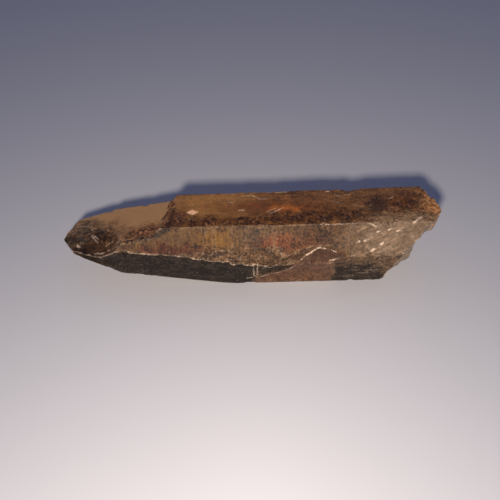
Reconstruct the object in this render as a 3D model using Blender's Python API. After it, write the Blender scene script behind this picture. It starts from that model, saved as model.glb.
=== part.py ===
"""A natural citrine crystal, lying on one of its prism faces.

It is one quartz crystal: a tapering six-sided prism whose long axis runs along X, with
the tip towards -X and the broken base towards +X. The flat faces are cut from a block.
The ledge behind the tip, the chips on the front edge, the growth steps and the hackly
fracture of the base are then cut into those faces, so that it stays one solid.
"""

import math
import random

import bmesh
import bpy
from mathutils import Vector

MM = 0.001

# The crystal axis runs along X at this height over the face that it rests on.
AXIS_HEIGHT = 8.34
BLOCK_LENGTH = 110.0
BLOCK_WIDTH = 40.0

# Each flat face, in degrees and millimetres: which way it looks round the axis (0 is the
# back, 90 up, 180 the front, 270 down), how far it leans towards the base, or towards the
# tip where negative, and its distance from the axis at mid length.
FACES = {
    "prism_top": (90.0, -0.7, 8.34),
    "prism_upper_front": (150.0, -0.2, 9.68),
    "prism_lower_front": (210.0, 0.7, 7.41),
    "prism_bottom": (270.0, 0.0, AXIS_HEIGHT),
    "prism_lower_back": (330.0, 0.0, 7.76),
    "prism_upper_back": (30.0, -1.3, 9.62),
    "taper_lower_front": (209.4, -4.1, 7.61),
    "taper_lower_back": (326.0, -5.2, 7.95),
    "taper_bottom": (270.0, -8.3, 9.05),
    "tip_bottom": (270.0, -14.0, 11.56),
    "tip_lower_front": (219.3, -21.7, 15.76),
    "tip_upper_back": (51.7, -22.3, 19.06),
    "tip_lower_back": (341.2, -21.2, 19.15),
    "tip_back_corner": (15.5, -67.5, 36.96),
    "tip_front_corner": (220.2, -53.6, 31.50),
}

# The recessed face above the tip, and the foot of the riser that ends it, at the front
# edge and at the back edge. The riser leans back and is crumbled.
LEDGE_FACE = (83.6, -11.8, 9.88)
LEDGE_FRONT = (-18.9, -6.6)
LEDGE_BACK = (-16.2, 7.4)
LEDGE_REACH = 40.0
LEDGE_HALF_WIDTH = 12.0
LEDGE_FLAT = -0.9
LEDGE_RISER = 4.2
LEDGE_SLOPE = 1.3
LEDGE_WAVES = ((1.1, 0.0, 0.5), (2.7, 1.0, 0.3))
LEDGE_JITTER = 0.2
LEDGE_LUMPS = 0.22
LEDGE_GRID = 0.75
LEDGE_SEED = 5

# The two fracture faces of the broken base, and the scoops in them.
BREAK_FACES = {
    "break_front": (227.0, 48.8, 26.36),
    "break_back": (307.3, 58.2, 29.27),
}
BREAK_REACH = 18.0
BREAK_SCOOPS = 120
BREAK_CURVE = 5.0
BREAK_RELIEF = 0.8
BREAK_LEVEL = 0.38
BREAK_GRID = 1.4
BREAK_SEED = 104

# The shell-shaped fractures: where each bowl is centred, which way it looks, its radii
# along the crystal and across it, and its depth. Ripples spread across each bowl.
BOWLS = {
    "tip_bowl": ((-34.3, -3.4, 10.0), (104.0, -21.0), (5.8, 5.8), 1.0),
    "chip_upper": ((13.4, -8.7, 10.0), (181.0, 3.0), (4.4, 3.6), 0.6),
    "chip_lower": ((8.3, -5.7, 3.6), (207.0, 2.0), (8.4, 4.6), 0.9),
    "chip_back": ((24.0, 7.4, 4.6), (322.0, -2.0), (6.4, 4.2), 0.8),
}
BOWL_MARGIN = 1.5
BOWL_CELLS = 18
BOWL_RIPPLE = 0.10
BOWL_WAVE = 2.6

# The chipped strip along the front edge: its face, the height that it is centred on, and
# where it starts, begins to run out and ends along the axis.
STRIP_FACE = (183.4, 2.6, 8.42)
STRIP_HEIGHT = AXIS_HEIGHT + 1.4
STRIP_START, STRIP_FADE, STRIP_END = -16.0, 11.0, 15.0
STRIP_FADE_SLOPE = 0.8
STRIP_HALF_WIDTH = 5.0
STRIP_SCOOPS = 60
STRIP_CURVE = 2.2
STRIP_RELIEF = 0.3
STRIP_GRID = 1.0
STRIP_SEED = 3

# Growth steps square to the axis: the face, and the place along the axis, width and
# depth of each step in it.
GROWTH_STEPS = {
    "prism_upper_front": ((-9.5, 1.8, 0.12), (-4.0, 2.6, 0.14), (3.0, 1.5, 0.12)),
    "prism_upper_back": ((-6.0, 3.4, 0.18), (6.5, 2.2, 0.14), (19.0, 4.6, 0.20)),
}
GROWTH_HEIGHT = AXIS_HEIGHT + 4.5
GROWTH_HALF_WIDTH = 9.0

# Small round nicks on the edges between pairs of faces: where they start and end along
# the axis, and how many there are.
NICKS = (
    (FACES["prism_top"], FACES["prism_upper_front"], -12.0, 32.0, 4),
    (LEDGE_FACE, FACES["prism_upper_front"], -29.0, -19.5, 7),
    (FACES["prism_upper_back"], FACES["prism_lower_back"], -12.0, 30.0, 6),
    (FACES["prism_bottom"], FACES["prism_lower_back"], -2.0, 26.0, 4),
)
NICK_RADIUS = (0.4, 0.9)
NICK_OFFSET = 0.62
NICK_SEED = 7

CUTTER_DEPTH = 30.0

BODY_COLOUR = (0.23, 0.115, 0.035, 1.0)
BODY_ROUGHNESS = 0.12

AXIS_MIDDLE = Vector((0.0, 0.0, AXIS_HEIGHT))
ALONG = Vector((1.0, 0.0, 0.0))
ACROSS = Vector((0.0, 1.0, 0.0))
UP = Vector((0.0, 0.0, 1.0))


def facing(around, lean):
    """The unit vector that looks round the axis by one angle and leans by the other."""
    around, lean = math.radians(around), math.radians(lean)
    return Vector((
        math.sin(lean),
        math.cos(lean) * math.cos(around),
        math.cos(lean) * math.sin(around),
    ))


def face_foot(around, lean, distance):
    """The point of a face's plane that is nearest to the middle of the axis."""
    return AXIS_MIDDLE + facing(around, lean) * distance


def on_face(face, start, direction):
    """Where the line from start along direction meets the plane of a face."""
    normal = facing(*face[:2])
    return start + direction * (normal.dot(face_foot(*face) - start) / normal.dot(direction))


def edge_point(face, other, x):
    """The point at one place along the axis where the planes of two faces meet."""
    normal, other_normal = facing(*face[:2]), facing(*other[:2])
    level = normal.dot(face_foot(*face)) - normal.x * x
    other_level = other_normal.dot(face_foot(*other)) - other_normal.x * x
    spread = normal.y * other_normal.z - normal.z * other_normal.y
    return Vector((
        x,
        (level * other_normal.z - other_level * normal.z) / spread,
        (other_level * normal.y - level * other_normal.y) / spread,
    ))


def places(start, end, size):
    """Evenly spaced places from start to end, about size apart."""
    count = max(1, round((end - start) / size))
    return [start + (end - start) * i / count for i in range(count + 1)]


def clear_scene():
    for thing in list(bpy.data.objects):
        bpy.data.objects.remove(thing, do_unlink=True)


def new_object(name, mesh_data):
    """Turn a bmesh in millimetres into a named object in metres."""
    bmesh.ops.scale(mesh_data, vec=(MM, MM, MM), verts=mesh_data.verts)
    mesh = bpy.data.meshes.new(name)
    mesh_data.to_mesh(mesh)
    mesh_data.free()
    made = bpy.data.objects.new(name, mesh)
    bpy.context.collection.objects.link(made)
    return made


def cut_flat(mesh_data, face):
    """Cut away everything outside one face, and close the cut."""
    bmesh.ops.bisect_plane(
        mesh_data,
        geom=mesh_data.verts[:] + mesh_data.edges[:] + mesh_data.faces[:],
        dist=1e-5,
        plane_co=face_foot(*face),
        plane_no=facing(*face[:2]),
        clear_outer=True,
    )
    rim = [edge for edge in mesh_data.edges if edge.is_boundary]
    bmesh.ops.holes_fill(mesh_data, edges=rim, sides=0)


def flat_faced_crystal():
    """The crystal with its flat faces only."""
    mesh_data = bmesh.new()
    bmesh.ops.create_cube(mesh_data, size=1.0)
    block = (BLOCK_LENGTH, BLOCK_WIDTH, BLOCK_WIDTH)
    bmesh.ops.scale(mesh_data, vec=block, verts=mesh_data.verts)
    for face in FACES.values():
        cut_flat(mesh_data, face)
    bmesh.ops.recalc_face_normals(mesh_data, faces=mesh_data.faces[:])
    return new_object("crystal", mesh_data)


def relief_cutter(name, centre, outward, along, us, vs, height):
    """A closed cutter that covers a face. Its inner side is height(u, v) outward of the
    plane through the centre, with u the way of along and v across it."""
    u_axis = (along - outward * outward.dot(along)).normalized()
    v_axis = outward.cross(u_axis)
    mesh_data = bmesh.new()

    def corner(u, v, level):
        return mesh_data.verts.new(centre + u_axis * u + v_axis * v + outward * level)

    inner = [[corner(u, v, height(u, v)) for v in vs] for u in us]
    outer = [[corner(u, v, CUTTER_DEPTH) for v in (vs[0], vs[-1])] for u in (us[0], us[-1])]
    for row, next_row in zip(inner, inner[1:]):
        for j in range(len(vs) - 1):
            mesh_data.faces.new((row[j], row[j + 1], next_row[j + 1], next_row[j]))
    mesh_data.faces.new((outer[0][0], outer[1][0], outer[1][1], outer[0][1]))
    mesh_data.faces.new([row[0] for row in inner] + [outer[1][0], outer[0][0]])
    mesh_data.faces.new([row[-1] for row in inner] + [outer[1][1], outer[0][1]])
    mesh_data.faces.new(inner[0] + [outer[0][1], outer[0][0]])
    mesh_data.faces.new(inner[-1] + [outer[1][1], outer[1][0]])
    bmesh.ops.triangulate(mesh_data, faces=mesh_data.faces[:])
    bmesh.ops.recalc_face_normals(mesh_data, faces=mesh_data.faces[:])
    return new_object(name, mesh_data)


def scoops(seed, count, reach, curve, relief, level=0.0):
    """Overlapping shell-shaped scoops, as a fracture in quartz leaves: the lowest of many
    shallow bowls at every point, so that they meet in sharp ridges."""
    draw = random.Random(seed)
    bottoms = [
        [draw.uniform(-side, side) for side in reach] + [level - draw.uniform(0.0, relief)]
        for _ in range(count)
    ]

    def height(u, v):
        return min(
            bottom + ((u - bottom_u) ** 2 + (v - bottom_v) ** 2) / (2.0 * curve)
            for bottom_u, bottom_v, bottom in bottoms
        )

    return height


def base_cutters():
    """The two fracture faces of the base, each a field of scoops."""
    grid = places(-BREAK_REACH, BREAK_REACH, BREAK_GRID)
    cutters = []
    for seed, (name, face) in enumerate(BREAK_FACES.items(), start=BREAK_SEED):
        relief = scoops(
            seed, BREAK_SCOOPS, (BREAK_REACH, BREAK_REACH), BREAK_CURVE, BREAK_RELIEF, BREAK_LEVEL
        )
        centre = on_face(face, AXIS_MIDDLE, ALONG)
        cutters.append(relief_cutter(name, centre, facing(*face[:2]), UP, grid, grid, relief))
    return cutters


def ledge_cutter():
    """The recess above the tip: level with the ledge face, and rising at its end in a
    crumbled riser whose foot wanders."""
    middle = (Vector(LEDGE_FRONT) + Vector(LEDGE_BACK)) / 2.0
    run = Vector(LEDGE_BACK) - Vector(LEDGE_FRONT)
    draw = random.Random(LEDGE_SEED)
    vs = places(-LEDGE_HALF_WIDTH, LEDGE_HALF_WIDTH, LEDGE_GRID)
    riser = places(LEDGE_FLAT, LEDGE_RISER, LEDGE_GRID)
    foot = {
        v: sum(size * math.sin(turn * v + start) for turn, start, size in LEDGE_WAVES)
        + draw.uniform(-LEDGE_JITTER, LEDGE_JITTER)
        for v in vs
    }
    lump = {(u, v): draw.uniform(-LEDGE_LUMPS, LEDGE_LUMPS) for u in riser for v in vs}

    def height(u, v):
        rise = (u - foot[v]) * LEDGE_SLOPE
        return rise + lump.get((u, v), 0.0) if rise > 0.0 else 0.0

    centre = on_face(LEDGE_FACE, Vector((middle.x, middle.y, 0.0)), UP)
    base_ward = Vector((run.y, -run.x, 0.0))
    us = [-LEDGE_REACH] + riser
    return relief_cutter("ledge", centre, facing(*LEDGE_FACE[:2]), base_ward, us, vs, height)


def strip_cutter():
    """The chipped strip along the front edge: small scoops along a narrow face that
    rises out of the crystal at its end."""
    middle = (STRIP_START + STRIP_END) / 2.0
    half = (STRIP_END - STRIP_START) / 2.0
    reach = (half, STRIP_HALF_WIDTH)
    chips = scoops(STRIP_SEED, STRIP_SCOOPS, reach, STRIP_CURVE, STRIP_RELIEF)

    def height(u, v):
        return chips(u, v) + max(0.0, u + middle - STRIP_FADE) * STRIP_FADE_SLOPE

    centre = on_face(STRIP_FACE, Vector((middle, 0.0, STRIP_HEIGHT)), ACROSS)
    us = places(-half, half, STRIP_GRID)
    vs = places(-STRIP_HALF_WIDTH, STRIP_HALF_WIDTH, STRIP_GRID)
    return relief_cutter("strip", centre, facing(*STRIP_FACE[:2]), ALONG, us, vs, height)


def bowl_cutter(name, centre, look, radii, depth):
    """A shallow bowl, level with its plane at its radii, with low ripples in rings
    around its tip-ward end."""
    half_along, half_across = radii

    def height(u, v):
        from_middle = math.hypot(u / half_along, v / half_across)
        from_end = math.hypot(u + half_along, v)
        ripple = BOWL_RIPPLE * math.sin(math.tau * from_end / BOWL_WAVE)
        return depth * (from_middle ** 2 - 1.0) + ripple

    us, vs = (
        places(-half * BOWL_MARGIN, half * BOWL_MARGIN, 2.0 * half * BOWL_MARGIN / BOWL_CELLS)
        for half in radii
    )
    return relief_cutter(name, Vector(centre), facing(*look), ALONG, us, vs, height)


def growth_cutters():
    """Shallow steps in the prism faces, square to the axis."""
    cutters = []
    for face_name, face_steps in GROWTH_STEPS.items():
        face = FACES[face_name]
        for number, (x, width, depth) in enumerate(face_steps, start=1):
            centre = on_face(face, Vector((x, 0.0, GROWTH_HEIGHT)), ACROSS)
            cutters.append(relief_cutter(
                f"growth_{face_name}_{number}", centre, facing(*face[:2]), ALONG,
                (0.0, width), (-GROWTH_HALF_WIDTH, GROWTH_HALF_WIDTH),
                lambda u, v, depth=depth: -depth,
            ))
    return cutters


def nick_cutter():
    """Small round nicks at uneven places along the edges, as one cutter."""
    draw = random.Random(NICK_SEED)
    mesh_data = bmesh.new()
    for face, other, start, end, count in NICKS:
        outward = (facing(*face[:2]) + facing(*other[:2])).normalized()
        room = (end - start) / count
        for number in range(count):
            radius = draw.uniform(*NICK_RADIUS)
            x = start + room * (number + draw.uniform(0.2, 0.8))
            centre = edge_point(face, other, x) + outward * radius * NICK_OFFSET
            made = bmesh.ops.create_icosphere(mesh_data, subdivisions=2, radius=radius)
            bmesh.ops.translate(mesh_data, vec=centre, verts=made["verts"])
    return new_object("nicks", mesh_data)


def cut(body, cutter):
    """Take a cutter out of the crystal with a Boolean modifier."""
    cutter.hide_render = True
    cutter.display_type = "WIRE"
    cutter.parent = body
    boolean = body.modifiers.new(cutter.name, "BOOLEAN")
    boolean.operation = "DIFFERENCE"
    boolean.solver = "MANIFOLD"
    boolean.object = cutter


def citrine_material():
    material = bpy.data.materials.new("citrine")
    material.use_nodes = True
    shader = material.node_tree.nodes["Principled BSDF"]
    shader.inputs["Base Color"].default_value = BODY_COLOUR
    shader.inputs["Roughness"].default_value = BODY_ROUGHNESS
    shader.inputs["Metallic"].default_value = 0.0
    return material


def centre_over_origin(body):
    """Move the crystal so that its box is centred over the origin."""
    bpy.context.view_layer.update()
    shape = body.evaluated_get(bpy.context.evaluated_depsgraph_get())
    corners = [Vector(corner) for corner in shape.bound_box]
    for axis in (0, 1):
        values = [corner[axis] for corner in corners]
        body.location[axis] = -(min(values) + max(values)) / 2.0


def main():
    clear_scene()
    crystal = flat_faced_crystal()
    bowls = [bowl_cutter(name, *bowl) for name, bowl in BOWLS.items()]
    fractures = base_cutters() + [ledge_cutter(), strip_cutter()] + bowls
    for cutter in fractures + growth_cutters() + [nick_cutter()]:
        cut(crystal, cutter)
    crystal.data.materials.append(citrine_material())
    centre_over_origin(crystal)


main()
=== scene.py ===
"""The looks of a natural citrine crystal that lies on a pale table."""

import math
from functools import cached_property

import bmesh
import bpy
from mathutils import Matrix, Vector, noise
from mathutils.kdtree import KDTree


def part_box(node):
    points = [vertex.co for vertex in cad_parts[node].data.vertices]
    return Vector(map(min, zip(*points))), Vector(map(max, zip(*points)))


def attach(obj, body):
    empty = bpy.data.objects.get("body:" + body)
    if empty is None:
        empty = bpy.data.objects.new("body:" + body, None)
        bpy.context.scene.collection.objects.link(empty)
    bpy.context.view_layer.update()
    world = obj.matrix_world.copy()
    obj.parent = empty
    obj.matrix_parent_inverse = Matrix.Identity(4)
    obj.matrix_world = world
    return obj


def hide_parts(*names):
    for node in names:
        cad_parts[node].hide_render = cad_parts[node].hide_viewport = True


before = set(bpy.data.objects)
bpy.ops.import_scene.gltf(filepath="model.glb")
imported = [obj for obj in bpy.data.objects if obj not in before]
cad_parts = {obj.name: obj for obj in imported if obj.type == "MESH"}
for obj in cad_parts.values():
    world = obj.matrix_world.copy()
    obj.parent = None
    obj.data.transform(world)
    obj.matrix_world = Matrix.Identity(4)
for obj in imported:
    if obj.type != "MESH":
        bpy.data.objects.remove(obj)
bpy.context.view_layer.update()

MM = 0.001

# The fine mesh: the size of its cells, and how it is sliced into them.
CELL = 0.33 * MM
RADIAL_SLICES = 84
SLICE_SNAP = 0.04 * MM
AXIS_HEIGHT = 8.34 * MM
WELD_DISTANCE = 0.001 * MM
DISSOLVE_ANGLE = math.radians(0.3)
SMOOTH_ANGLE = math.radians(28.0)

# A flat stretch of the solid at least this large is a crystal face, and the rest is
# fracture. Edges sharper than the angle are the crystal's own edges.
FLAT_AREA = 2.5 * MM * MM
FLAT_ANGLE = math.radians(1.0)
SHARP_ANGLE = math.radians(24.0)

# The crystal faces that have a look of their own: the number that marks each, the way
# that it looks, and how closely a face has to match that way. Two more numbers mark
# fracture and all other crystal faces.
FRACTURE, PLAIN = 0, 1
FACE_KINDS = {
    "recess": (2, Vector((-0.204, 0.109, 0.973)), 0.9995),
    "top": (3, Vector((0.0, 0.0, 1.0)), 0.9995),
    "mid": (4, Vector((0.0, -0.866, 0.5)), 0.999),
    "low": (5, Vector((-0.18, -0.85, -0.5)), 0.94),
}

# What the mesh tells the material at each vertex, from 0 to 1. Wear lies along all of the
# crystal's edges, and the crest along those edges of the low face that are high enough.
MASKS = ("fracture", "wear", "crest", *FACE_KINDS)
WEAR_WIDTH = 0.22 * MM
CREST_WIDTH = 0.14 * MM
CREST_HEIGHT = 6.5 * MM

# How far apart the points are that stand for an edge when a distance from it is found.
EDGE_STEP = 0.3 * MM

# The relief of the fine mesh, in millimetres: how high or deep each kind of it is, and
# the size of the noise that it follows. Chips come where their noise is above a start,
# within a reach of an edge, and the shift keeps that noise apart from the hackle's.
UNDULATION_HEIGHT, UNDULATION_SIZE = 0.03, 7.0
STRIPE_HEIGHT, STRIPE_WIDTH, STRIPE_LENGTH = 0.014, 1.25, 16.0
HACKLE_HEIGHT, HACKLE_SIZE, HACKLE_MEAN = 0.07, 1.9, 0.2
EDGE_CHIP_DEPTH, EDGE_CHIP_SIZE = 0.55, 2.6
EDGE_CHIP_START, EDGE_CHIP_REACH = 0.22, 0.45
EDGE_CHIP_SHIFT = Vector((50.0, 0.0, 0.0)) * MM

# Camera and light, round the middle of the crystal.
CAMERA_TARGET = Vector((-0.08, -1.69, 7.0)) * MM
CAMERA_DISTANCE = 200.0 * MM
CAMERA_AZIMUTH = math.radians(-1.57)
CAMERA_ELEVATION = math.radians(36.0)
CAMERA_LENS = 67.5
CAMERA_SENSOR = 36.0

KEY_DISTANCE = 0.25
KEY_AZIMUTH = math.radians(-5.0)
KEY_ELEVATION = math.radians(31.4)
KEY_SIZE = 0.015
KEY_POWER = 0.205
KEY_COLOUR = (1.0, 0.91, 0.83)
KEY_SPREAD = math.radians(90.0)
KEY_AIM = Vector((0.0, -60.0, 0.0)) * MM
SKY_LOW = (0.02, 0.022, 0.03, 1.0)
SKY_HIGH = (0.115, 0.138, 0.245, 1.0)
SKY_HIGH_FROM = 0.6

FLOOR_COLOUR = (0.56, 0.545, 0.55, 1.0)
FLOOR_ROUGHNESS = 0.85
FLOOR_SPECULAR = 0.15
FLOOR_HALF_WIDTH = 2.0
# The floor lies this little below the crystal, so that their faces don't coincide.
FLOOR_DROP = 0.02 * MM


def around(azimuth, elevation):
    """The unit vector from the crystal towards a camera or lamp."""
    return Vector((
        math.sin(azimuth) * math.cos(elevation),
        -math.cos(azimuth) * math.cos(elevation),
        math.sin(elevation),
    ))


# ---------------------------------------------------------------- the fine mesh

def welded_copy(node):
    """A bmesh of a node, with the vertices that its faces share joined again."""
    fine = bmesh.new()
    fine.from_mesh(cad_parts[node].data)
    bmesh.ops.remove_doubles(fine, verts=fine.verts, dist=WELD_DISTANCE)
    fine.normal_update()
    return fine


def flat_stretch(start, seen):
    """The faces that lie in one plane with a face and are joined to it."""
    stretch, queue = [], [start]
    seen.add(start)
    while queue:
        face = queue.pop()
        stretch.append(face)
        for edge in face.edges:
            for other in edge.link_faces:
                if other not in seen and other.normal.angle(start.normal, math.pi) < FLAT_ANGLE:
                    seen.add(other)
                    queue.append(other)
    return stretch


def face_kind(normal):
    """The number of the crystal face that looks this way."""
    for value, look, match in FACE_KINDS.values():
        if normal.dot(look.normalized()) > match:
            return value
    return PLAIN


def mark_faces(fine):
    """Mark each face as fracture or as one kind of crystal face."""
    kind = fine.faces.layers.int.new("kind")
    seen = set()
    for start in fine.faces:
        if start in seen:
            continue
        stretch = flat_stretch(start, seen)
        if sum(face.calc_area() for face in stretch) > FLAT_AREA:
            for face in stretch:
                face[kind] = face_kind(start.normal)


def slice_mesh(fine, point, normal):
    """Add the edges where one plane crosses the mesh, and cut nothing away."""
    geometry = fine.verts[:] + fine.edges[:] + fine.faces[:]
    bmesh.ops.bisect_plane(
        fine, geom=geometry, dist=SLICE_SNAP, plane_co=point, plane_no=normal
    )


def slice_into_cells(fine):
    """Slice the mesh along the axis and square to it, so that every face has small even
    cells and keeps its outline."""
    low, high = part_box("crystal")
    flat = {"delimit": {"MATERIAL"}, "angle_limit": DISSOLVE_ANGLE}
    bmesh.ops.dissolve_limit(fine, verts=fine.verts[:], edges=fine.edges[:], **flat)
    for number in range(RADIAL_SLICES):
        turn = math.pi * (number + 0.5) / RADIAL_SLICES
        normal = Vector((0.0, math.cos(turn), math.sin(turn)))
        slice_mesh(fine, Vector((0.0, 0.0, AXIS_HEIGHT)), normal)
    count = round((high.x - low.x) / CELL)
    for number in range(1, count):
        x = low.x + (high.x - low.x) * number / count
        slice_mesh(fine, Vector((x, 0.0, 0.0)), Vector((1.0, 0.0, 0.0)))
    bmesh.ops.triangulate(fine, faces=fine.faces[:])
    fine.normal_update()


def is_crest(edge, kind):
    """Whether an edge is the top edge of the low face."""
    low = FACE_KINDS["low"][0]
    high = min(vert.co.z for vert in edge.verts) > CREST_HEIGHT
    return high and sum(face[kind] == low for face in edge.link_faces) == 1


def points_along(edges):
    """Points along edges of the solid, for finding how near one of them is."""
    points = []
    for edge in edges:
        start, end = (vert.co for vert in edge.verts)
        count = max(1, round((end - start).length / EDGE_STEP))
        points += [start.lerp(end, i / count) for i in range(count + 1)]
    tree = KDTree(len(points))
    for index, point in enumerate(points):
        tree.insert(point, index)
    tree.balance()
    return tree


def share(vert, kind, value):
    """The part of a vertex's faces that are of one kind."""
    return sum(face[kind] == value for face in vert.link_faces) / len(vert.link_faces)


def vertex_masks(vert, kind, edge_distance, crest_distance):
    """How far each kind of face, wear and the crest reach a vertex."""
    found = {name: share(vert, kind, value) for name, (value, _, _) in FACE_KINDS.items()}
    found["fracture"] = share(vert, kind, FRACTURE)
    found["wear"] = math.exp(-edge_distance / WEAR_WIDTH)
    found["crest"] = math.exp(-((crest_distance / CREST_WIDTH) ** 2))
    return found


def fbm(point, size, octaves=3):
    """Layered noise with lumps about size millimetres across."""
    return noise.fractal(point / (size * MM), 0.9, 2.1, octaves)


def relief(vert, fracture, edge_distance):
    """How far a point of the surface moves out, in millimetres. The stripes are only on
    the prism's faces, the hackle only on fractures and the chips only along edges."""
    point = vert.co
    prism = 1.0 - min(1.0, abs(vert.normal.x) * 6.0)
    undulation = UNDULATION_HEIGHT * fbm(point, UNDULATION_SIZE)
    across = Vector((point.x / (STRIPE_WIDTH * MM), 3.0, point.z / (STRIPE_LENGTH * MM)))
    stripe = STRIPE_HEIGHT * noise.noise(across) * prism
    hackle = HACKLE_HEIGHT * fracture * (fbm(point, HACKLE_SIZE, 2) - HACKLE_MEAN)
    chipped = max(0.0, fbm(point + EDGE_CHIP_SHIFT, EDGE_CHIP_SIZE, 2) - EDGE_CHIP_START)
    near_edge = math.exp(-((edge_distance / (EDGE_CHIP_REACH * MM)) ** 2))
    return undulation + stripe + hackle - EDGE_CHIP_DEPTH * chipped * near_edge


def move_inside_box(fine, moves):
    """Move the vertices, and keep them inside the solid's box."""
    low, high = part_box("crystal")
    for vert, move in zip(fine.verts, moves):
        moved = vert.co + move
        vert.co = Vector(min(max(c, a), b) for c, a, b in zip(moved, low, high))


def crystal_mesh():
    """The crystal's fine mesh, with its relief and masks."""
    fine = welded_copy("crystal")
    mark_faces(fine)
    kind = fine.faces.layers.int["kind"]
    edges = points_along(edge for edge in fine.edges if edge.calc_face_angle(0.0) > SHARP_ANGLE)
    crests = points_along(edge for edge in fine.edges if is_crest(edge, kind))
    slice_into_cells(fine)
    moves, masks = [], []
    for vert in fine.verts:
        edge_distance = edges.find(vert.co)[2]
        found = vertex_masks(vert, kind, edge_distance, crests.find(vert.co)[2])
        masks.append(found)
        moves.append(vert.normal * relief(vert, found["fracture"], edge_distance) * MM)
    move_inside_box(fine, moves)
    mesh = bpy.data.meshes.new("citrine_crystal")
    fine.to_mesh(mesh)
    fine.free()
    for name in MASKS:
        layer = mesh.attributes.new(name, "FLOAT", "POINT")
        layer.data.foreach_set("value", [found[name] for found in masks])
    mesh.shade_smooth()
    mesh.set_sharp_from_angle(angle=SMOOTH_ANGLE)
    return mesh


# ---------------------------------------------------------------- nodes

class Nodes:
    """Short names for the nodes of one node tree."""

    def __init__(self, tree):
        self.tree = tree

    def put(self, socket, value):
        """Link a socket to another node's output, or set it to a plain value."""
        if isinstance(value, bpy.types.NodeSocket):
            self.tree.links.new(value, socket)
        else:
            socket.default_value = value

    def make(self, kind, *values, **settings):
        """Make a node, set it up, and give its inputs in their order."""
        made = self.tree.nodes.new(kind)
        for name, value in settings.items():
            setattr(made, name, value)
        for socket, value in zip(made.inputs, values):
            self.put(socket, value)
        return made

    def math(self, operation, *values):
        return self.make("ShaderNodeMath", *values, operation=operation).outputs[0]

    def vector(self, operation, *values):
        made = self.make("ShaderNodeVectorMath", *values, operation=operation)
        return made.outputs["Value" if operation in ("LENGTH", "DOT_PRODUCT") else "Vector"]

    def scaled(self, vector, factor):
        made = self.make("ShaderNodeVectorMath", vector, operation="SCALE")
        self.put(made.inputs["Scale"], factor)
        return made.outputs["Vector"]

    def chain(self, operation, values):
        """One operation on the first two values, then on the result and the next."""
        result, *others = values
        for value in others:
            result = self.math(operation, result, value)
        return result

    def add(self, *values):
        return self.chain("ADD", values)

    def times(self, *values):
        return self.chain("MULTIPLY", values)

    def most(self, *values):
        return self.chain("MAXIMUM", values)

    def ramp(self, value, low, high, to_low=0.0, to_high=1.0):
        """A smooth step from to_low to to_high as value goes from low to high."""
        made = self.make("ShaderNodeMapRange", interpolation_type="SMOOTHSTEP")
        for socket, given in zip(made.inputs, (value, low, high, to_low, to_high)):
            self.put(socket, given)
        return made.outputs["Result"]

    def mix(self, amount, first, second):
        """A mix of two colours, which are inputs 6 and 7 of the node."""
        made = self.make("ShaderNodeMix", data_type="RGBA")
        for socket, given in ((0, amount), (6, first), (7, second)):
            self.put(made.inputs[socket], given)
        return made.outputs[2]

    def blend(self, amount, first, second):
        """A mix of two numbers, which are inputs 2 and 3 of the node."""
        made = self.make("ShaderNodeMix")
        for socket, given in ((0, amount), (2, first), (3, second)):
            self.put(made.inputs[socket], given)
        return made.outputs[0]


# ---------------------------------------------------------------- the crystal's look

# The quartz, which is smoky by absorption, and how little its frosted parts shine.
QUARTZ_IOR = 1.54
FROSTED_SPECULAR = 0.02
SMOKE_COLOUR = (0.74, 0.62, 0.40, 1.0)
SMOKE_DENSITY = 80.0
BUMP_HEIGHT = 0.12 * MM

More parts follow.
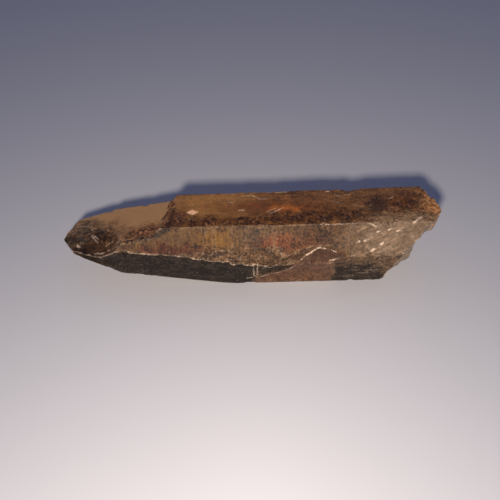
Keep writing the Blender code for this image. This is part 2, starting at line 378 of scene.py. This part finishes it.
# What lies over the clear crystal, one layer after another: the faces that it is on,
# where it is, its radii and the softness of its edge, and then its colour, how much of it
# is frosted, how rough it is and how grainy.
LAYERS = (
    ("top", None, (0.40, 0.182, 0.048), 0.29, 0.24, 0.55),
    ("top", ((-7.0, 2.5, 16.7), (9.0, 6.0, 4.0), 0.5), (0.68, 0.320, 0.080), 0.37, 0.22, 0.16),
    ("top", ((5.0, 0.5, 16.8), (12.0, 2.4, 4.0), 0.6), (0.35, 0.122, 0.022), 0.30, 0.22, 0.40),
    # Painted glow: orange light reflected inside the crystal, laid on this part of the top face as
    # colour.
    ("top", ((7.4, -0.5, 16.8), (3.8, 0.9, 4.0), 0.6), (0.80, 0.240, 0.036), 0.36, 0.22, 0.22),
    ("top", ((0.0, -4.9, 16.8), (24.0, 1.5, 4.0), 0.5), (0.28, 0.102, 0.014), 0.22, 0.34, 1.50),
    ("top", ((-15.2, -2.6, 16.5), (2.4, 2.4, 4.0), 0.6), (0.33, 0.130, 0.040), 0.24, 0.34, 1.00),
    ("top", ((15.0, -3.0, 16.8), (8.0, 1.8, 4.0), 0.7), (0.22, 0.082, 0.012), 0.22, 0.34, 1.30),
    ("top", ((26.5, 0.4, 17.0), (2.2, 3.2, 4.0), 0.6), (0.10, 0.045, 0.014), 0.24, 0.40, 0.90),
    ("top", ((33.0, 1.0, 17.0), (4.5, 3.0, 4.0), 0.8), (0.24, 0.080, 0.014), 0.25, 0.30, 1.40),
    ("top", ((32.0, -5.4, 17.0), (8.0, 2.0, 4.0), 0.5), (0.56, 0.350, 0.180), 0.40, 0.50, 0.55),
    ("top", ((39.0, 0.0, 17.0), (3.6, 4.4, 3.0), 0.5), (0.72, 0.340, 0.115), 0.40, 0.45, 1.00),
    ("mid", None, (0.27, 0.125, 0.028), 0.21, 0.76, 0.70),
    ("mid", ((-19.0, -7.5, 14.0), (9.0, 3.0, 1.9), 0.5), (0.32, 0.172, 0.052), 0.26, 0.78, 0.18),
    ("mid", ((-17.0, -8.9, 12.4), (8.0, 2.0, 1.6), 0.6), (0.20, 0.040, 0.006), 0.20, 0.80, 0.80),
    ("mid", ((-6.6, -7.9, 14.4), (4.8, 3.0, 1.5), 0.6), (0.50, 0.222, 0.026), 0.27, 0.76, 0.12),
    ("mid", ((2.5, -7.5, 14.8), (6.6, 3.0, 1.6), 0.6), (0.25, 0.125, 0.040), 0.22, 0.68, 0.80),
    ("mid", ((5.5, -8.5, 13.3), (4.0, 2.6, 1.5), 0.8), (0.44, 0.105, 0.020), 0.24, 0.74, 0.80),
    ("mid", ((12.5, -8.5, 13.0), (3.6, 2.6, 1.6), 0.6), (0.30, 0.086, 0.014), 0.22, 0.76, 0.80),
    ("mid", ((16.5, -8.0, 15.0), (5.0, 2.6, 2.2), 0.6), (0.18, 0.070, 0.014), 0.21, 0.76, 1.00),
    ("mid", ((24.0, -8.0, 14.0), (6.0, 5.0, 5.0), 0.6), (0.32, 0.182, 0.084), 0.30, 0.76, 0.45),
    ("mid", ((31.5, -7.0, 14.0), (9.0, 6.0, 6.0), 0.6), (0.38, 0.245, 0.142), 0.38, 0.76, 0.25),
    # Painted shade: the low face, and next its facet under the tip, get a near-black frosted cover for
    # the shade that is seen through these clear faces.
    ("low", None, (0.012, 0.006, 0.003), 0.76, 0.36, 0.45),
    ("low", ((-34.0, -3.6, 6.4), (4.8, 4.8, 4.8), 0.3), (0.03, 0.018, 0.008), 0.97, 0.80, 0.60),
    ("low", ((31.0, -8.0, 9.0), (12.0, 9.0, 5.5), 0.25), (0.25, 0.140, 0.064), 0.36, 0.60, 0.90),
    # Painted shade: a near-black frosted cover on the dark remnant of the low face.
    ("low", ((22.0, -7.2, 4.4), (6.0, 4.6, 4.2), 0.25), (0.022, 0.011, 0.005), 0.84, 0.30, 0.80),
    ("recess", None, (0.78, 0.430, 0.180), 0.49, 0.24, 0.06),
    ("recess", ((-21.5, -4.8, 14.0), (6.0, 2.8, 4.0), 0.6), (0.30, 0.128, 0.045), 0.39, 0.42, 1.10),
    ("recess", ((-31.3, -1.8, 11.0), (4.6, 3.6, 3.0), 0.8), (0.26, 0.118, 0.042), 0.32, 0.30, 0.90),
    ("recess", ((-36.0, 2.6, 10.6), (3.4, 3.0, 3.0), 0.6), (0.16, 0.080, 0.032), 0.34, 0.34, 0.90),
    ("fracture", None, (0.33, 0.160, 0.058), 0.22, 0.34, 0.70),
    ("fracture", ((-18.5, 0.0, 15.0), (5.5, 10.0, 4.0), 0.2), (0.27, 0.105, 0.034), 0.28, 0.40, 1.00),
    ("fracture", ((-1.0, -9.5, 10.6), (16.5, 4.0, 3.2), 0.2), (0.24, 0.120, 0.045), 0.26, 0.70, 1.10),
    ("fracture", ((14.5, -8.7, 9.4), (5.6, 4.0, 3.0), 0.2), (0.20, 0.086, 0.034), 0.20, 0.60, 0.45),
    ("fracture", ((-37.0, -2.0, 9.0), (9.0, 9.0, 9.0), 0.2), (0.10, 0.046, 0.015), 0.26, 0.22, 0.80),
    ("fracture", ((36.0, 0.0, 8.0), (10.0, 12.0, 12.0), 0.2), (0.66, 0.500, 0.340), 0.32, 0.45, 0.35),
    ("fracture", ((39.0, 0.0, 16.5), (3.5, 4.5, 3.0), 0.5), (0.74, 0.330, 0.100), 0.45, 0.45, 1.00),
    # Painted shade: the upper part of the lower chip gets a near-black frosted cover, so that it reads
    # as part of the shaded low face.
    ("low fracture", ((4.8, -7.0, 5.8), (5.2, 3.4, 2.6), 0.2), (0.02, 0.013, 0.006), 0.88, 0.22, 0.20),
)

# Fine bright lines, from place to place with their half widths. One of them is a painted highlight.
BRIGHT_LINES = (
    # The sharp ridge of the upper chip, and the crack at its end.
    ((11.3, -8.7, 10.6), (14.0, -8.7, 12.5), 0.32),
    ((14.0, -8.8, 12.5), (17.3, -8.9, 11.4), 0.26),
    ((16.2, -8.5, 8.9), (20.9, -9.9, 11.2), 0.18),
    # Two needles on the lower face, with a dash beside them.
    ((0.5, -8.8, 8.5), (0.6, -6.0, 3.4), 0.17),
    ((1.3, -8.9, 8.5), (1.35, -5.8, 3.2), 0.17),
    ((-0.9, -5.4, 2.3), (0.4, -5.6, 2.7), 0.16),
    # The pale line over the lower chip, up to the ridge.
    ((1.9, -5.5, 2.6), (7.3, -5.3, 4.0), 0.15),
    ((7.3, -5.3, 4.0), (8.7, -6.3, 5.6), 0.15),
    ((8.7, -6.3, 5.6), (10.3, -8.3, 9.0), 0.15),
    ((10.3, -8.3, 9.0), (11.0, -8.7, 10.2), 0.18),
    # The line behind the bowl at the tip, the scratches in it and its bright lip.
    ((-37.6, 3.6, 10.1), (-33.7, 2.0, 11.1), 0.16),
    ((-33.5, -0.3, 10.3), (-32.0, -2.7, 10.2), 0.18),
    ((-36.6, -1.7, 8.9), (-36.1, -2.1, 8.8), 0.40),
    ((-32.6, -5.2, 9.4), (-31.4, -6.1, 9.8), 0.30),
    ((-31.0, -6.2, 10.0), (-30.2, -6.6, 10.4), 0.34),
    ((-33.0, -0.5, 10.5), (-31.9, -1.9, 10.5), 0.14),
    # Streaks between the bowl and the ledge.
    ((-30.1, -4.7, 10.8), (-28.5, -4.8, 12.1), 0.18),
    ((-29.5, -6.9, 11.1), (-27.2, -8.0, 13.1), 0.22),
    ((-28.8, -6.2, 11.8), (-26.9, -6.8, 13.3), 0.20),
    # Marks on the top face.
    ((-4.6, 2.3, 16.7), (-3.8, 2.1, 16.7), 0.26),
    ((-2.4, -0.9, 16.7), (-1.5, -0.9, 16.7), 0.26),
    ((-1.6, 4.6, 16.7), (0.5, 4.7, 16.7), 0.15),
    ((0.5, 4.7, 16.7), (2.0, 3.3, 16.7), 0.18),
    ((2.0, 3.3, 16.7), (3.4, 3.2, 16.7), 0.22),
    ((3.3, -1.9, 16.7), (5.5, -0.3, 16.7), 0.14),
    ((4.0, -2.5, 16.7), (6.2, -1.0, 16.8), 0.14),
    ((5.1, -1.5, 16.7), (6.8, -0.4, 16.8), 0.14),
    ((5.5, 5.7, 16.7), (8.2, 5.7, 16.8), 0.16),
    ((16.4, 5.5, 16.9), (17.0, 5.5, 16.9), 0.30),
    ((18.4, 3.7, 16.9), (21.3, 4.2, 16.9), 0.12),
    ((17.3, 2.0, 16.9), (19.3, 0.6, 16.9), 0.13),
    ((21.3, 0.4, 16.9), (23.3, -0.4, 17.0), 0.12),
    ((29.1, 2.0, 17.0), (30.6, 3.1, 17.1), 0.12),
    # Flecks in the milky end, and a painted highlight, a glint, at its upper corner.
    ((33.2, -6.7, 17.0), (34.9, -5.2, 17.1), 0.40),
    ((26.4, -8.9, 13.1), (27.0, -8.7, 13.4), 0.30),
    ((24.5, -9.5, 12.0), (25.1, -9.3, 12.3), 0.30),
    ((23.1, -8.5, 13.8), (23.8, -8.4, 14.0), 0.28),
    ((29.7, -7.6, 15.4), (30.5, -7.4, 15.6), 0.26),
    ((21.5, -8.6, 13.5), (22.1, -8.5, 13.7), 0.24),
    ((27.9, -7.4, 15.7), (28.5, -7.3, 15.9), 0.24),
    ((25.7, -7.6, 15.3), (26.3, -7.5, 15.5), 0.22),
    ((31.0, -9.9, 11.5), (31.8, -9.2, 11.4), 0.22),
    # The pale edge between the top face and the milky end.
    ((14.0, -6.7, 16.7), (23.4, -6.5, 16.9), 0.15),
    ((23.4, -6.5, 16.9), (24.6, -6.8, 16.7), 0.17),
    ((24.6, -6.8, 16.7), (25.4, -7.0, 16.3), 0.20),
)

# Dark seams: along the foot of the ledge, and across the middle face.
DARK_LINES = (
    ((-26.2, -7.5, 13.8), (-22.6, -7.6, 14.5), 0.60),
    ((-22.6, -7.6, 14.5), (-19.5, -7.6, 15.1), 0.80),
    ((-19.5, -7.6, 15.1), (-17.0, -6.9, 16.4), 1.00),
    ((-17.0, -6.9, 16.4), (-16.3, -2.5, 16.5), 0.70),
    ((-16.3, -2.5, 16.5), (-15.7, 0.6, 16.5), 0.40),
    ((-12.5, -8.8, 13.1), (-9.0, -8.6, 13.2), 0.22),
    ((-9.0, -8.6, 13.2), (-5.4, -9.0, 12.8), 0.20),
    ((-11.4, -8.4, 13.6), (-11.4, -9.0, 12.6), 0.32),
)

CLEAR_COLOUR = (0.76, 0.56, 0.34)
PALE_COLOUR = (0.80, 0.60, 0.43)
SEAM_COLOUR = (0.02, 0.010, 0.005)

# From where to where along the crystal a thing comes in, or goes out where the first is
# the higher.
HAIRS_REACH = (12.0, 0.0)
TOP_STREAKS_REACH = (-6.0, 14.0)
MILK_REACH = (14.0, 25.0)
BOWL_REACH = (-27.0, -29.0)
CREST_REACH = (10.5, 8.5)

# How far the streaks in the milky end are turned about the middle face, from along the
# crystal.
STREAK_SLANT = math.radians(-24.0)

RIPPLE_CENTRE = (-40.0, -5.0, 9.0)
RIPPLE_SPACING = 1.3

# The lower chip: two planes through the pale line over it, a plane under the upper chip,
# each by a place and a direction into the chip, and its two ends along the crystal.
LOWER_CHIP_LINES = (((1.9, -5.5, 2.6), (0.27, 0.0, -0.96)), ((7.3, -5.3, 4.0), (0.86, 0.0, -0.51)))
LOWER_CHIP_TOP = ((11.0, -8.5, 8.6), (0.1, 0.0, -1.0))
LOWER_CHIP_LEFT, LOWER_CHIP_RIGHT = (0.0, 2.5), (17.8, 16.6)
LOWER_CHIP_COLOUR = (0.27, 0.125, 0.060)

# Pale flow lines in the dark remnant, and rust flakes under the ledge.
FLOW_PATCH = ((22.0, -7.0, 4.2), (5.6, 4.4, 3.6), 0.3)
RUST_PATCH = ((-20.3, -5.2, 15.2), (5.5, 3.2, 3.0), 0.4)
RUST_COLOUR = (0.90, 0.40, 0.16)

FLAKE_CENTRE = (-12.0, -1.2, 16.5)
FLAKE_RADII = (1.30, 1.05, 1.0)
FLAKE_COLOUR = (1.0, 0.56, 0.32)


class Patterns(Nodes):
    """The crystal's patterns, by the place on it in millimetres. The nodes of a pattern
    with a name of its own are made when it is first used."""

    def __init__(self, tree):
        super().__init__(tree)
        self.here = self.scaled(self.make("ShaderNodeTexCoord").outputs["Object"], 1.0 / MM)
        self.along = self.make("ShaderNodeSeparateXYZ", self.here).outputs["X"]
        # Fine marks are drawn at near and patches at far, which wanders more.
        self.near = self.wander(self.here, 0.8, 0.25)
        self.far = self.wander(self.wander(self.near, 1.6, 0.8), 6.0, 2.2)
        self.slanted = self.turned(self.near, FACE_KINDS["mid"][1], STREAK_SLANT)
        self.masks = {name: self.attribute(name) for name in MASKS}

    def attribute(self, name):
        return self.make("ShaderNodeAttribute", attribute_name=name).outputs["Fac"]

    def wander(self, place, size, reach):
        """The place moved about by noise, so that what is drawn there has uneven edges."""
        drift = self.make("ShaderNodeTexNoise", self.scaled(place, 1.0 / size), normalize=False)
        return self.vector("ADD", place, self.scaled(drift.outputs["Color"], reach))

    def turned(self, place, axis, angle):
        made = self.make("ShaderNodeVectorRotate", rotation_type="AXIS_ANGLE")
        for name, value in (("Vector", place), ("Axis", axis), ("Angle", angle)):
            self.put(made.inputs[name], value)
        return made.outputs["Vector"]

    def noise(self, size, stretch=(1.0, 1.0, 1.0), detail=3.0, roughness=0.55, place=None):
        """Noise whose blotches are about size millimetres across, over the stretch."""
        scale = [value / size for value in stretch]
        made = self.make("ShaderNodeTexNoise", self.vector("MULTIPLY", place or self.here, scale))
        made.inputs["Scale"].default_value = 1.0
        made.inputs["Detail"].default_value = detail
        made.inputs["Roughness"].default_value = roughness
        return made.outputs["Fac"]

    def swing(self, value, reach=0.15):
        """A noise's value made to go from -1 to 1, the more softly the higher the reach."""
        return self.ramp(value, 0.5 - reach, 0.5 + reach, -1.0, 1.0)

    def specks(self, size, part, radius, stretch=(1.0, 1.0, 1.0), place=None):
        """Dots in a part of the cells of a pattern, the radius as a part of the cell."""
        scale = [value / size for value in stretch]
        cells = self.make("ShaderNodeTexVoronoi", self.vector("MULTIPLY", place or self.near, scale))
        cells.inputs["Scale"].default_value = 1.0
        number = self.make("ShaderNodeSeparateColor", cells.outputs["Color"]).outputs["Red"]
        dot = self.ramp(cells.outputs["Distance"], radius * 0.6, radius, 1.0, 0.0)
        return self.times(dot, self.math("LESS_THAN", number, part))

    def spot(self, centre, radii, edge):
        """1 inside an ellipsoid round a place, fading to 0 outside."""
        offset = self.vector("SUBTRACT", self.far, centre)
        distance = self.vector("LENGTH", self.vector("DIVIDE", offset, radii))
        return self.ramp(distance, 1.0 - edge, 1.0 + edge, 1.0, 0.0)

    def beyond(self, start, way, edge):
        """1 on the far side of a plane through a place, fading to 0 on the near side."""
        offset = self.vector("SUBTRACT", self.near, start)
        return self.ramp(self.vector("DOT_PRODUCT", offset, way), -edge, edge)

    def line(self, start, end, width):
        """1 along a straight line between two places, fading to 0 at its width."""
        start, run = Vector(start), Vector(end) - Vector(start)
        offset = self.vector("SUBTRACT", self.near, start)
        reached = self.vector("DOT_PRODUCT", offset, run / run.length_squared)
        reached = self.math("MINIMUM", self.math("MAXIMUM", reached, 0.0), 1.0)
        beside = self.vector("SUBTRACT", offset, self.scaled(run, reached))
        return self.ramp(self.vector("LENGTH", beside), 0.35 * width, width, 1.0, 0.0)

    def lines(self, table):
        """All the lines of a table. Each is added as soon as it is made, because Cycles
        draws the crystal black when too many are unfinished."""
        result = 0.0
        for start, end, width in table:
            result = self.math("MAXIMUM", result, self.line(start, end, width))
        return result

    @cached_property
    def grain(self):
        """Fine grain."""
        return self.swing(self.noise(0.5, detail=2.0, roughness=0.7), 0.18)

    @cached_property
    def blotch(self):
        """Blotches a few times the size of the grain."""
        return self.swing(self.noise(1.8, detail=3.0, roughness=0.65))

    @cached_property
    def hairs(self):
        """Hair-like growth lines on the left of the middle face."""
        where = self.times(self.masks["mid"], self.ramp(self.along, *HAIRS_REACH))
        return self.times(self.swing(self.noise(0.42, (1.0, 0.08, 0.08), 2.0, 0.6)), where)

    @cached_property
    def streaks(self):
        """Streaks along the crystal."""
        return self.swing(self.noise(0.9, (0.22, 1.0, 1.0), 3.0, 0.65))

    @cached_property
    def slants(self):
        """The slanted streaks of the milky end."""
        return self.swing(self.noise(0.55, (0.2, 1.0, 1.0), 3.0, 0.65, self.slanted))

    @cached_property
    def milk(self):
        """1 in the milky end, on the faces that the photo shows."""
        low, fracture = self.times(self.masks["low"], 0.4), self.times(self.masks["fracture"], 0.6)
        front = self.add(self.masks["mid"], low, fracture)
        return self.times(self.ramp(self.along, *MILK_REACH), front)

    @cached_property
    def bowl(self):
        """1 in the bowl at the tip."""
        return self.times(self.masks["fracture"], self.ramp(self.along, *BOWL_REACH))

    @cached_property
    def ripples(self):
        """Ripples in the bowl that spread from the tip, from -1 to 1. They raise a bump, and their
        bands of painted light and shade go into the colour.
        """
        distance = self.vector("LENGTH", self.vector("SUBTRACT", self.far, RIPPLE_CENTRE))
        waves = self.math("SINE", self.math("MULTIPLY", distance, math.tau / RIPPLE_SPACING))
        return self.times(waves, self.bowl)


class Citrine(Patterns):
    """The surface as it is built up: its colour, how much of it is frosted, how rough it
    is and how grainy."""

    def __init__(self, tree):
        """Begin with clear faces that have patches of etching."""
        super().__init__(tree)
        etched = self.ramp(self.noise(5.0, detail=4.0, roughness=0.6), 0.34, 0.72)
        self.body = (*CLEAR_COLOUR, 1.0)
        self.frost = self.ramp(etched, 0.0, 1.0, 0.10, 0.26)
        self.rough = self.ramp(etched, 0.0, 1.0, 0.22, 0.46)
        self.grainy = 0.3

    def lay(self, mask, colour, frost=None, rough=None, grainy=None):
        """Lay a look over the surface as far as a mask says, and leave what isn't given."""
        self.body = self.mix(mask, self.body, (*colour, 1.0))
        if frost is not None:
            self.frost = self.blend(mask, self.frost, frost)
        if rough is not None:
            self.rough = self.blend(mask, self.rough, rough)
        if grainy is not None:
            self.grainy = self.blend(mask, self.grainy, grainy)

    def lay_layers(self):
        for faces, patch, colour, frost, rough, grainy in LAYERS:
            mask = self.add(*(self.masks[face] for face in faces.split()))
            if patch is not None:
                mask = self.times(mask, self.spot(*patch))
            self.lay(mask, colour, frost, rough, grainy)

    def lay_lower_chip(self):
        """The chip under the pale line on the lower face."""
        chip = self.most(*(self.beyond(*line, 0.15) for line in LOWER_CHIP_LINES))
        left, right = (self.ramp(self.along, *end) for end in (LOWER_CHIP_LEFT, LOWER_CHIP_RIGHT))
        faces = self.add(self.masks["low"], self.masks["fracture"])
        chip = self.times(chip, left, right, faces, self.beyond(*LOWER_CHIP_TOP, 0.4))
        self.lay(chip, LOWER_CHIP_COLOUR, frost=0.30, rough=0.55)

    def shade(self):
        """Darken and lighten the colour by grain, streaks, growth lines and ripples. The ripples'
        bands are painted light and shade of their relief.
        """
        mottle = self.add(self.times(self.grain, 0.85), self.times(self.blotch, 0.42))
        on_top = self.ramp(self.along, *TOP_STREAKS_REACH, 0.08, 0.32)
        on_top = self.times(self.masks["top"], on_top)
        # Each pattern goes from -1 to 1, and its factor says how strongly it shows.
        tone = self.add(
            1.0,
            self.times(self.grainy, mottle),
            self.times(self.hairs, 0.16),
            self.times(self.streaks, on_top),
            self.times(self.slants, self.milk, 0.28),
            # The ripples' bands of painted light and shade.
            self.times(self.ripples, 0.3),
            self.times(self.streaks, self.bowl, 0.9),
        )
        self.body = self.scaled(self.body, self.most(tone, 0.24))

    def lay_pale_marks(self):
        """Wisps and flecks in the milky end, dust, worn edges and lines, all of them pale
        and frosted. The factors say how much of the pale colour each has at most."""
        patchy = self.add(self.grain, self.blotch)
        wisps = self.times(self.ramp(self.slants, 0.15, 1.0), self.milk, 0.16)
        flecks = self.specks(1.0, 0.30, 0.24, (0.42, 1.25, 1.25), self.slanted)
        flecks = self.times(flecks, self.milk, 0.45)
        milk_dust = self.times(self.ramp(self.along, *MILK_REACH), 0.1)
        dust = self.add(self.times(self.grainy, 0.38), milk_dust)
        dust = self.times(self.specks(0.6, 0.22, 0.36), dust)
        worn = self.times(self.masks["wear"], 0.24, self.ramp(patchy, -0.4, 0.6))
        crest = self.times(self.masks["crest"], self.ramp(self.along, *CREST_REACH))
        crest = self.times(crest, self.ramp(patchy, -0.7, 0.9, 0.12, 1.0))
        drawn = self.times(self.lines(BRIGHT_LINES), self.ramp(self.grain, -1.0, 0.2, 0.45, 1.0))
        flow = self.ramp(self.noise(0.8, (0.14, 1.0, 1.3), 2.0, 0.6), 0.56, 0.68, 0.0, 0.24)
        flow = self.times(flow, self.masks["low"], self.spot(*FLOW_PATCH))
        mottled = self.times(self.masks["low"], self.ramp(patchy, -0.2, 1.8), 0.045)
        pale = self.most(wisps, flecks, dust, worn, crest, drawn, flow, mottled)
        self.lay(pale, PALE_COLOUR, frost=0.85, rough=0.5)

    def lay_rust(self):
        """The rust flakes under the ledge, off the middle face."""
        rust = self.times(self.specks(0.95, 0.40, 0.42), self.spot(*RUST_PATCH))
        rust = self.times(rust, self.math("SUBTRACT", 1.0, self.masks["mid"]))
        self.lay(rust, RUST_COLOUR, frost=0.75)

    def lay_seams(self):
        seams = self.times(self.lines(DARK_LINES), self.ramp(self.grain, -0.9, 0.6, 1.0, 0.6))
        self.lay(seams, SEAM_COLOUR)

    def lay_flake(self):
        """The bright flake on the top face, which has straight sides."""
        offset = self.vector("SUBTRACT", self.near, FLAKE_CENTRE)
        offset = self.vector("ABSOLUTE", self.vector("DIVIDE", offset, FLAKE_RADII))
        distance = self.vector("DOT_PRODUCT", offset, (1.0, 1.0, 0.3))
        flake = self.ramp(distance, 0.85, 1.15, 1.0, 0.0)
        flake = self.times(flake, self.ramp(self.grain, -1.0, 0.3, 0.6, 1.0))
        self.lay(flake, FLAKE_COLOUR, frost=0.95)

    def bump(self):
        """What is finer than the mesh: grain, growth lines and ripples."""
        uneven = self.times(self.grain, self.add(self.grainy, 0.12))
        uneven = self.add(uneven, self.times(self.hairs, 0.32), self.ripples)
        made = self.make("ShaderNodeBump")
        made.inputs["Strength"].default_value = 0.5
        made.inputs["Distance"].default_value = BUMP_HEIGHT
        self.put(made.inputs["Height"], self.times(uneven, 0.5))
        return made.outputs["Normal"]


# ---------------------------------------------------------------- materials

def new_material(name):
    material = bpy.data.materials.new(name)
    material.use_nodes = True
    return material


def citrine_material():
    """See-through smoky quartz, under all that lies on and just below its faces."""
    material = new_material("smoky_citrine")
    look = Citrine(material.node_tree)
    look.lay_layers()
    look.lay_lower_chip()
    look.shade()
    look.lay_pale_marks()
    look.lay_rust()
    look.lay_seams()
    look.lay_flake()
    shader = look.tree.nodes["Principled BSDF"]
    look.put(shader.inputs["Base Color"], look.body)
    look.put(shader.inputs["Transmission Weight"], look.math("SUBTRACT", 1.0, look.frost))
    look.put(shader.inputs["Roughness"], look.rough)
    look.put(shader.inputs["Normal"], look.bump())
    shader.inputs["IOR"].default_value = QUARTZ_IOR
    shader.inputs["Specular IOR Level"].default_value = FROSTED_SPECULAR
    smoke = look.make("ShaderNodeVolumeAbsorption", SMOKE_COLOUR, SMOKE_DENSITY)
    look.put(look.tree.nodes["Material Output"].inputs["Volume"], smoke.outputs["Volume"])
    return material


def floor_material():
    material = new_material("pale_table")
    shader = material.node_tree.nodes["Principled BSDF"]
    shader.inputs["Base Color"].default_value = FLOOR_COLOUR
    shader.inputs["Roughness"].default_value = FLOOR_ROUGHNESS
    shader.inputs["Specular IOR Level"].default_value = FLOOR_SPECULAR
    return material


# ---------------------------------------------------------------- scene

def add_object(name, data):
    made = bpy.data.objects.new(name, data)
    bpy.context.scene.collection.objects.link(made)
    return made


def make_crystal():
    mesh = crystal_mesh()
    mesh.materials.append(citrine_material())
    crystal = add_object("citrine_crystal", mesh)
    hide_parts("crystal")
    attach(crystal, "root")


def make_floor():
    mesh = bpy.data.meshes.new("floor")
    signs = ((-1, -1), (1, -1), (1, 1), (-1, 1))
    corners = [(x * FLOOR_HALF_WIDTH, y * FLOOR_HALF_WIDTH, -FLOOR_DROP) for x, y in signs]
    mesh.from_pydata(corners, [], [(0, 1, 2, 3)])
    mesh.materials.append(floor_material())
    add_object("floor", mesh)


def make_camera():
    data = bpy.data.cameras.new("camera")
    data.lens, data.sensor_width = CAMERA_LENS, CAMERA_SENSOR
    data.clip_start, data.clip_end = 0.01, 10.0
    camera = add_object("camera", data)
    back = around(CAMERA_AZIMUTH, CAMERA_ELEVATION)
    camera.location = CAMERA_TARGET + back * CAMERA_DISTANCE
    camera.rotation_euler = (-back).to_track_quat("-Z", "Y").to_euler()
    bpy.context.scene.camera = camera
    bpy.context.scene.view_settings.view_transform = "Standard"


def make_key():
    """The one lamp, aimed in front of the crystal so that the floor is lighter there."""
    data = bpy.data.lights.new("key", "AREA")
    data.shape, data.size = "DISK", KEY_SIZE
    data.energy, data.color = KEY_POWER, KEY_COLOUR
    data.spread = KEY_SPREAD
    key = add_object("key", data)
    key.location = around(KEY_AZIMUTH, KEY_ELEVATION) * KEY_DISTANCE
    key.rotation_euler = (KEY_AIM - key.location).to_track_quat("-Z", "Y").to_euler()


def make_sky():
    """A soft blue light from above."""
    world = bpy.data.worlds.new("studio")
    world.use_nodes = True
    sky = Nodes(world.node_tree)
    way = sky.make("ShaderNodeSeparateXYZ", sky.make("ShaderNodeTexCoord").outputs["Generated"])
    colour = sky.mix(sky.ramp(way.outputs["Z"], 0.0, SKY_HIGH_FROM), SKY_LOW, SKY_HIGH)
    sky.put(sky.tree.nodes["Background"].inputs["Color"], colour)
    bpy.context.scene.world = world


make_crystal()
make_floor()
make_camera()
make_key()
make_sky()
